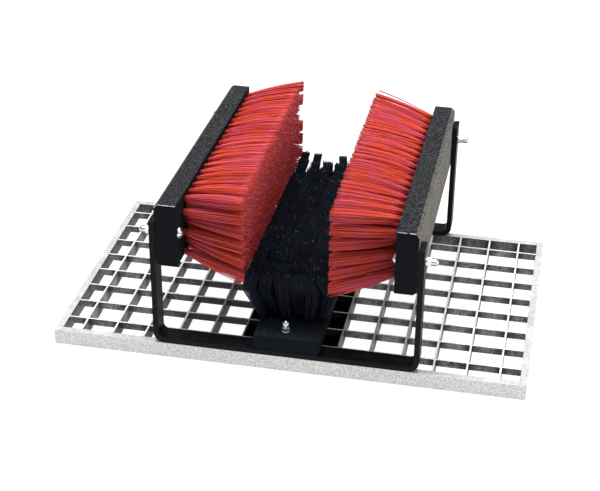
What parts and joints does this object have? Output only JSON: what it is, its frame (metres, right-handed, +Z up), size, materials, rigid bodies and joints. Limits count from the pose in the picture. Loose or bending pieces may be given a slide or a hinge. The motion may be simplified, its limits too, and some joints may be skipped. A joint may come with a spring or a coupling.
{
  "type": "boot cleaning machine",
  "caption": "Free-standing boot cleaner: two facing side brushes and an upturned sole brush bolted in U brackets of flat bar on a galvanised grating.",
  "frame": {"origin": "middle of the whole machine's outline on the floor, brush tips included, at the grating's underside", "axes": "+X to the right along the long side of the grating, +Y away from the front, from which the boot goes in, +Z up"},
  "size_m": [0.488, 0.3012, 0.1922],
  "materials": {
    "galvanised": "hot-dip galvanised, mottled grey",
    "bracket": "black powder coat, satin",
    "brush_board": "black moulded board, fine grain",
    "side_bristle": "red bristles",
    "sole_bristle": "black bristles",
    "fastener": "bright zinc plated"
  },
  "bodies": {
    "root": {"bearing_bar_1": "galvanised", "bearing_bar_10": "galvanised", "bearing_bar_11": "galvanised", "bearing_bar_12": "galvanised", "bearing_bar_13": "galvanised", "bearing_bar_14": "galvanised", "bearing_bar_2": "galvanised", "bearing_bar_3": "galvanised", "bearing_bar_4": "galvanised", "bearing_bar_5": "galvanised", "bearing_bar_6": "galvanised", "bearing_bar_7": "galvanised", "bearing_bar_8": "galvanised", "bearing_bar_9": "galvanised", "cross_bar_1": "galvanised", "cross_bar_2": "galvanised", "cross_bar_3": "galvanised", "cross_bar_4": "galvanised", "cross_bar_5": "galvanised", "cross_bar_6": "galvanised", "cross_bar_7": "galvanised", "cross_bar_8": "galvanised", "edge_front": "galvanised", "edge_left": "galvanised", "edge_rear": "galvanised", "edge_right": "galvanised", "front_bracket": "bracket", "front_clamp": "galvanised", "left_bristles": "side_bristle", "left_brush_board": "brush_board", "left_front_bolt": "fastener", "left_front_cap_nut": "fastener", "left_front_washer": "fastener", "left_rear_bolt": "fastener", "left_rear_cap_nut": "fastener", "left_rear_washer": "fastener", "rear_bracket": "bracket", "right_bristles": "side_bristle", "right_brush_board": "brush_board", "right_front_bolt": "fastener", "right_front_cap_nut": "fastener", "right_front_washer": "fastener", "right_rear_bolt": "fastener", "right_rear_cap_nut": "fastener", "right_rear_washer": "fastener", "sole_bristles": "sole_bristle", "sole_brush_board": "brush_board", "sole_front_bolt": "fastener", "sole_front_cap_nut": "fastener", "sole_front_washer": "fastener", "sole_rear_bolt": "fastener", "sole_rear_cap_nut": "fastener", "sole_rear_washer": "fastener"}
  },
  "joints": []
}
